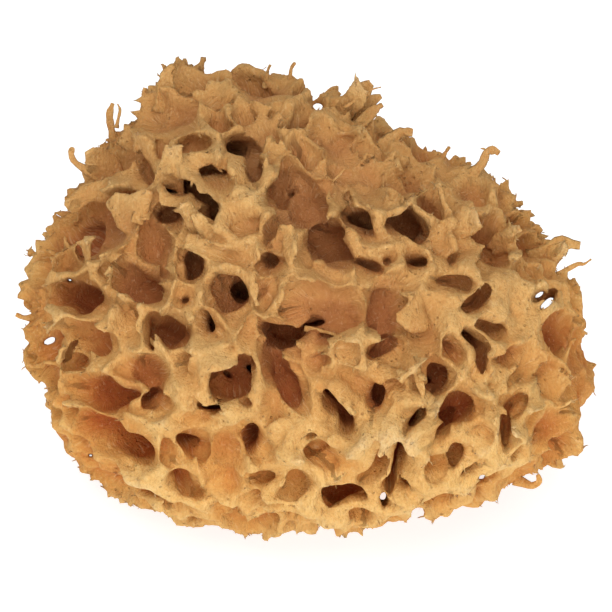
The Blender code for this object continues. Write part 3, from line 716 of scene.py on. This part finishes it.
# Dark specks painted in the tiny pores: painted shade of the pin-holes, which are also sunk in the bump
tan = tan.blend(PORE_SHADE, pores * 0.26)
relief = streaks * (0.6 + 0.2 * in_cell) + speckle * 0.85 - pores * 0.6
bump = wire.add("ShaderNodeBump", None, {"Height": relief, "Strength": 1.0, "Distance": RELIEF_DEPTH})
wire.tree.links.new(tan.socket, shader.inputs["Base Color"])
wire.tree.links.new(bump.socket, shader.inputs["Normal"])
shader.inputs["Roughness"].default_value = 0.92
shader.inputs["Specular IOR Level"].default_value = 0.12
shader.inputs["Subsurface Weight"].default_value = 0.15
shader.inputs["Subsurface Radius"].default_value = (1.0, 0.62, 0.4)
shader.inputs["Subsurface Scale"].default_value = 0.0008

growth = Growth(GRID_STEP)
growth.hollow_rest(growth.hollow_face())
growth.hang_flaps()
rough = bpy.data.objects.new("rough_sponge", skin_mesh(growth.finish(), GRID_STEP))
bpy.context.scene.collection.objects.link(rough)
thinning = rough.modifiers.new("Fewer faces", "DECIMATE")
thinning.ratio = min(1, FACE_LIMIT / len(rough.data.polygons))
graph = bpy.context.evaluated_depsgraph_get()
mesh = cut_flat(rough.evaluated_get(graph).to_mesh())
bpy.data.objects.remove(rough)

points = np.empty(3 * len(mesh.vertices), np.float32)
mesh.vertices.foreach_get("co", points)
points = 1000.0 * points.reshape(-1, 3)

# The fibre is combed down each cell, and felted on the edges, where two cells meet and near a cell's own axis
follow, open_distance, owner, off_axis = growth.follow_cells(points)
gap = growth.read(growth.second - growth.nearest, points)
in_strands = ease(gap, 0.2, 1.4) * ease(off_axis, 0.4, 0.9)
in_strands = in_strands * (1 - 0.65 * ease(open_distance, 0.5, 3.0)) * (open_distance < 8)
edges = np.empty(2 * len(mesh.edges), np.int32)
mesh.edges.foreach_get("vertices", edges)
edges = edges.reshape(-1, 2)
in_strands[edges[owner[edges[:, 0]] != owner[edges[:, 1]]]] = 0
deep = body(*points.T)
# The depth also drives the painted shade in the fibre's colour: the deeper, the browner
mesh.attributes.new("depth", "FLOAT", "POINT").data.foreach_set("value", deep.astype(np.float32))
mesh.attributes.new("open_wall", "FLOAT", "POINT").data.foreach_set("value", open_distance)
mesh.attributes.new("in_strands", "FLOAT", "POINT").data.foreach_set("value", in_strands.astype(np.float32))
mesh.attributes.new("strands", "FLOAT_VECTOR", "POINT").data.foreach_set("vector", follow.ravel())
mesh.shade_smooth()
mesh.materials.append(fibre)
sponge = bpy.data.objects.new("grown_sponge", mesh)
bpy.context.scene.collection.objects.link(sponge)
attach(sponge, "root")
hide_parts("sponge")


# The frayed edges
# The dry fibre stands out loose along every torn edge, as fine hairs and as paper-thin flakes.
# They are part of the sponge itself, only too fine for its solid, and they root just under its skin.

HAIR_THICKNESS = 0.035
HAIR_COUNT = 6000
FLAKE_THICKNESS = 0.1
FLAKE_COUNT = 1500
LOWEST = 0.05


def template(shape):
    """Points and triangles of a small pattern shape, which is used up."""
    bmesh.ops.triangulate(shape, faces=shape.faces[:])
    shape.verts.index_update()
    points = np.array([vert.co for vert in shape.verts])
    faces = np.array([[vert.index for vert in face.verts] for face in shape.faces])
    shape.free()
    return points, faces


def hair_pattern(sides, cuts, tip=0.25):
    """A tapered rod one unit long, cut across so that it can bend."""
    shape = bmesh.new()
    bmesh.ops.create_cone(shape, cap_ends=True, segments=sides, radius1=1, radius2=tip, depth=1)
    bmesh.ops.translate(shape, vec=(0, 0, 0.5), verts=shape.verts)
    for cut in range(1, cuts):
        bmesh.ops.bisect_plane(
            shape,
            geom=shape.verts[:] + shape.edges[:] + shape.faces[:],
            plane_co=(0, 0, cut / cuts),
            plane_no=(0, 0, 1),
        )
    return template(shape)


def unit_rows(rows):
    return rows / np.linalg.norm(rows, axis=1, keepdims=True)


def across(vectors, random):
    """A random direction square to each of these."""
    return unit_rows(np.cross(vectors, random.standard_normal(vectors.shape)))


def grow_copies(name, pattern, roots, ways, sizes, bends, deep):
    """One mesh of bent copies of a pattern: sizes are length, width and thickness in millimetres."""
    random = np.random.default_rng(len(roots))
    points, faces = pattern
    side = across(ways, random)
    over = np.cross(ways, side)
    rise = points[:, 2]
    rows = roots[:, None] + sizes[:, None, 0:1] * rise[:, None] * ways[:, None]
    rows = rows + sizes[:, None, 1:2] * points[:, 0:1] * side[:, None]
    rows = rows + sizes[:, None, 2:3] * points[:, 1:2] * over[:, None]
    rows = rows + (rise**2)[:, None] * bends[:, None]
    rows[..., 2] = np.maximum(rows[..., 2], LOWEST)
    copies = np.arange(len(roots))[:, None, None] * len(points)
    mesh = bpy.data.meshes.new(name)
    mesh.from_pydata((rows.reshape(-1, 3) / 1000).tolist(), [], (faces + copies).reshape(-1, 3).tolist())
    # The depth at each root drives the painted shade in the fibre's colour, so hairs and flakes deep in the
    # cells are browner
    mesh.attributes.new("depth", "FLOAT", "POINT").data.foreach_set("value", np.repeat(deep, len(points)))
    mesh.attributes.new("open_wall", "FLOAT", "POINT").data.foreach_set("value", np.ones(len(mesh.vertices)))
    mesh.materials.append(fibre)
    mesh.shade_smooth()
    piece = bpy.data.objects.new(name, mesh)
    bpy.context.scene.collection.objects.link(piece)
    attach(piece, "root")


normals = np.empty(3 * len(mesh.vertices), np.float32)
mesh.vertices.foreach_get("normal", normals)
normals = normals.reshape(-1, 3).astype(float)
edge_places = np.nonzero((open_distance > 0.7) & (deep > -3.0) & (points[:, 2] > 2))[0]
wall_places = np.nonzero((open_distance < 0.5) & (deep > -9.0) & (deep < -0.5) & (points[:, 2] > 2))[0]


def hairs(name, places, count, lean, lengths, seed):
    """Hairs rooted at some of these places: lean is how far they lie over from standing straight out."""
    random = np.random.default_rng(seed)
    chosen = random.choice(places, count)
    out = normals[chosen]
    flat = across(out, random)
    ways = unit_rows(out * (1 - lean) + flat * lean + 0.25 * random.standard_normal(out.shape))
    length = random.uniform(*lengths, count)
    thick = HAIR_THICKNESS * random.uniform(0.6, 1.3, count)
    bends = (0.35 * across(ways, random) - 0.25 * out) * length[:, None] * random.uniform(0, 1, (count, 1))
    sizes = np.stack([length, thick, thick], -1)
    grow_copies(name, hair_pattern(3, 3), points[chosen] - 0.15 * out, ways, sizes, bends, deep[chosen])


hairs("edge_hairs", edge_places, HAIR_COUNT, 0.8, (0.3, 1.0), 3)
hairs("wall_hairs", wall_places, HAIR_COUNT, 0.9, (1.0, 3.0), 4)


def flake_pattern():
    """A thin leaf one unit long with an uneven tip."""
    shape = bmesh.new()
    bmesh.ops.create_grid(shape, x_segments=3, y_segments=3, size=0.5)
    for vert in shape.verts:
        x, rise = vert.co[0], vert.co[1] + 0.5
        ripple = 0.12 * math.sin(9 * x) * rise
        torn = 0.22 * math.sin(11 * x) * rise
        vert.co = (x * (1 - 0.55 * rise), ripple, rise + torn)
    bmesh.ops.solidify(shape, geom=shape.faces[:], thickness=FLAKE_THICKNESS)
    return template(shape)


random = np.random.default_rng(17)
flake_roots = random.choice(edge_places, FLAKE_COUNT)
flake_out = normals[flake_roots]
flake_ways = unit_rows(0.5 * flake_out + across(flake_out, random))
flake_length = random.uniform(0.6, 1.5, FLAKE_COUNT)
flake_width = flake_length * random.uniform(0.4, 0.9, FLAKE_COUNT)
flake_sizes = np.stack([flake_length, flake_width, np.ones(FLAKE_COUNT)], -1)
flake_bends = across(flake_ways, random) * flake_length[:, None] * random.uniform(0.0, 0.6, (FLAKE_COUNT, 1))
flake_starts = points[flake_roots] - 0.25 * flake_out
flake_depth = deep[flake_roots]
grow_copies("torn_flakes", flake_pattern(), flake_starts, flake_ways, flake_sizes, flake_bends, flake_depth)


# The torn wisps
# A few longer shreds of the same fibre stand out at the rim, some hooked or curled where they dried.

WISP_THICKNESS = 0.28
WISP_STEPS = 24

RIM_WISPS = (
    # half width at the root, then points across and up in millimetres, from the root to the tip
    (1.5, (-51.5, 31.5), (-56, 34.2), (-57.2, 36.5), (-56.8, 38.2)),
    (1.6, (-46.5, 40), (-47.3, 43.5), (-47.6, 46.5), (-46.8, 49.2)),
    (0.6, (-45.5, 45), (-45.0, 47.5), (-45.6, 49.0)),
    (2.8, (-34, 50), (-33.5, 54), (-33, 57.2), (-31.6, 58.6)),
    (1.3, (-38, 49), (-39, 51.5), (-38.8, 53)),
    (0.8, (-8.5, 55), (-8.0, 57.5), (-7.4, 58.8)),
    (0.9, (-2.5, 55), (-2.2, 57.8), (-1.2, 59.4)),
    (3.2, (11, 46.5), (14.5, 50.5), (16.5, 53), (16.2, 54.8)),
    (2.6, (13.5, 45.5), (17.5, 49.5), (20.3, 51)),
    (2.2, (15.5, 44.5), (18.5, 47.5), (20.6, 48.8)),
    (0.5, (14, 50), (17.8, 52.5), (20.2, 53.2)),
    (2.6, (22.5, 39.5), (25.2, 42), (28.2, 41.8)),
    (0.9, (35.5, 35.5), (36.8, 37.5), (37.4, 38.3)),
    (1.9, (42.5, 31), (45.5, 34), (46.7, 37), (48.5, 37.4), (49.8, 36.6)),
    (0.5, (46.5, 36), (46.2, 37.6), (45.2, 37.9)),
    (3.4, (61.5, 11.5), (66, 14), (70.0, 13.6)),
    (0.8, (66.5, 7.5), (69.5, 9), (71, 9), (72.8, 10.2)),
    (1.4, (-66, -4.5), (-69, -4.4), (-71, -3.6)),
    (1.2, (-63.5, -16.2), (-66.5, -16.6), (-68.3, -16.2)),
    (1.5, (55.5, -45.5), (58, -46.4), (59.8, -45.3), (59.4, -43.6)),
    (0.45, (8, 29.5), (9.8, 31.2), (11.2, 32.8)),
    (0.9, (-37.5, -10), (-35.3, -12.5), (-34.0, -16), (-32.6, -20.5)),
    (1.4, (29.6, -19.5), (30.6, -23), (30.8, -27)),
    (1.3, (-11.5, 2.5), (-11.3, 0.5), (-10.6, -1.4)),
    (0.8, (3.5, -7.5), (6.5, -8), (9.0, -8.8)),
    (1.6, (-40, 22), (-39, 25.5), (-37.6, 27.4)),
    (1.2, (-27.5, -22.5), (-27, -24.5), (-27.8, -26)),
)


def smooth_line(knots, count):
    """Points evenly spread in number along a smooth curve through the knots."""
    knots = np.array([2 * knots[0] - knots[1], *knots, 2 * knots[-1] - knots[-2]])
    spread = np.linspace(0, len(knots) - 3 - 1e-6, count)
    index = spread.astype(int)
    part = (spread - index)[:, None]
    a, b, c, d = (knots[index + k] for k in range(4))
    return b + 0.5 * part * (c - a + part * (2 * a - 5 * b + 4 * c - d + part * (3 * (b - c) + d - a)))


wisp_points, wisp_faces = hair_pattern(8, 12, 0.75)
tree = BVHTree.FromPolygons(points.tolist(), [tuple(face.vertices) for face in mesh.polygons])
wisp_shape = []
for number, (half_width, *knots) in enumerate(RIM_WISPS):
    sight = unit(set_out(*knots[0], 0) - EYE)
    hit = tree.ray_cast(Vector(EYE), Vector(sight))[0]
    root = np.array(hit) if hit else on_face(*knots[0])
    reach = (root - EYE).dot(sight) + 0.5
    line = []
    for step, (right, up) in enumerate(knots):
        aim = unit(set_out(right, up, 0) - EYE)
        line.append(EYE + aim * ((reach - 0.5 * step) / aim.dot(sight)))
    line = smooth_line([line[0] + (line[0] - line[1]) * 0.8, *line], WISP_STEPS + 1)
    rise = wisp_points[:, 2]
    place = np.clip(rise * WISP_STEPS, 0, WISP_STEPS - 0.001)
    index = place.astype(int)
    part = (place - index)[:, None]
    centre = line[index] * (1 - part) + line[index + 1] * part
    way = unit_rows(line[index + 1] - line[index])
    side = unit_rows(np.cross(way, sight))
    over = np.cross(side, way)
    ruffle = 0.25 * np.sin(9 * rise + number) + 0.15 * np.sin(23 * rise * (1 + 0.1 * number))
    width = half_width * (1 - 0.55 * rise + ruffle * 0.5)
    roll = 0.35 * half_width * (wisp_points[:, 0] ** 2) * np.sin(5 * rise + number)
    sideways = (wisp_points[:, 0] * width)[:, None] * side
    thick = (wisp_points[:, 1] * WISP_THICKNESS + roll)[:, None] * over
    wisp_shape.append(centre + sideways + thick)
wisps = bpy.data.meshes.new("torn_wisps")
wisp_copies = np.arange(len(RIM_WISPS))[:, None, None] * len(wisp_points)
wisp_corners = np.concatenate(wisp_shape) / 1000
wisps.from_pydata(wisp_corners.tolist(), [], (wisp_faces + wisp_copies).reshape(-1, 3).tolist())
wisps.attributes.new("open_wall", "FLOAT", "POINT").data.foreach_set("value", np.ones(len(wisps.vertices)))
wisps.materials.append(fibre)
wisps.shade_smooth()
wisp_piece = bpy.data.objects.new("torn_wisps", wisps)
bpy.context.scene.collection.objects.link(wisp_piece)
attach(wisp_piece, "root")


# The stage
# A white table under soft white studio light from above, seen from a little over 40 degrees above the table.

table_mesh = bpy.data.meshes.new("white_table")
table_shape = bmesh.new()
bmesh.ops.create_grid(table_shape, x_segments=1, y_segments=1, size=3.0)
table_shape.to_mesh(table_mesh)
table_shape.free()
table = bpy.data.objects.new("white_table", table_mesh)
bpy.context.scene.collection.objects.link(table)
white, shader, wire = new_material("white_table")
shader.inputs["Base Color"].default_value = (0.6, 0.6, 0.6, 1)
shader.inputs["Roughness"].default_value = 1.0
shader.inputs["Specular IOR Level"].default_value = 0.0
shader.inputs["Emission Color"].default_value = (1, 1, 1, 1)
shader.inputs["Emission Strength"].default_value = 0.7
table_mesh.materials.append(white)

room = bpy.data.worlds.new("white_room")
room.use_nodes = True
room.node_tree.nodes["Background"].inputs["Color"].default_value = (1, 1, 1, 1)
room.node_tree.nodes["Background"].inputs["Strength"].default_value = 0.50
bpy.context.scene.world = room


def softbox(name, place, aim, size, power):
    """A square soft light hung at a place and aimed at a point."""
    light = bpy.data.lights.new(name, "AREA")
    light.size = size
    light.energy = power
    lamp = bpy.data.objects.new(name, light)
    lamp.location = place
    lamp.rotation_euler = (Vector(aim) - Vector(place)).to_track_quat("-Z", "Y").to_euler()
    bpy.context.scene.collection.objects.link(lamp)


softbox("overhead_softbox", (-0.05, -0.3, 0.74), (0, 0, 0.05), 0.45, 2.6)
softbox("front_softbox", (0.08, -0.85, 0.36), (0, 0, 0.04), 0.8, 4.95)

FRAME_WIDTH = 153.0
SENSOR_WIDTH = 36
lens = bpy.data.cameras.new("camera")
lens.sensor_width = SENSOR_WIDTH
lens.lens = SENSOR_WIDTH * VIEWING_POINT[2] / FRAME_WIDTH
lens.clip_start = 0.01
camera = bpy.data.objects.new("camera", lens)
camera.location = EYE / 1000
look_at = set_out(VIEWING_POINT[0], VIEWING_POINT[1], 0) / 1000
camera.rotation_euler = Vector(look_at - EYE / 1000).to_track_quat("-Z", "Y").to_euler()
bpy.context.scene.collection.objects.link(camera)
bpy.context.scene.camera = camera
bpy.context.scene.view_settings.view_transform = "Standard"
